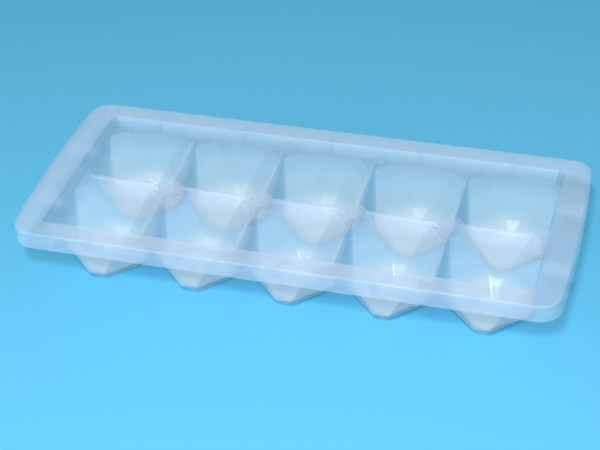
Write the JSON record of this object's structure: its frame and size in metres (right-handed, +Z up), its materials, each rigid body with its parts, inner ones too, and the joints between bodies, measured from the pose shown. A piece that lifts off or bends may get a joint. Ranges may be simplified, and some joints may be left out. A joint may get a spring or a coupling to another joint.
{
  "type": "ice cube tray",
  "caption": "Translucent moulded ice cube tray with a flat skirted rim and rows of faceted pockets that taper to small diamond feet.",
  "frame": {"origin": "on the surface the feet stand on, under the middle of the tray", "axes": "+X along the row of pockets, +Y across the tray, +Z up out of the pockets"},
  "size_m": [0.224, 0.0982, 0.0337],
  "materials": {
    "tray_plastic": "natural translucent polypropylene, undyed, satin moulded surface"
  },
  "bodies": {
    "root": {"flange_front": "tray_plastic", "flange_back": "tray_plastic", "flange_left": "tray_plastic", "flange_right": "tray_plastic", "skirt_front": "tray_plastic", "skirt_back": "tray_plastic", "skirt_left": "tray_plastic", "skirt_right": "tray_plastic", "pocket_front_1": "tray_plastic", "pocket_front_2": "tray_plastic", "pocket_front_3": "tray_plastic", "pocket_front_4": "tray_plastic", "pocket_front_5": "tray_plastic", "pocket_back_1": "tray_plastic", "pocket_back_2": "tray_plastic", "pocket_back_3": "tray_plastic", "pocket_back_4": "tray_plastic", "pocket_back_5": "tray_plastic", "ribs_front": "tray_plastic", "ribs_back": "tray_plastic", "ribs_left": "tray_plastic", "ribs_right": "tray_plastic"}
  },
  "joints": []
}
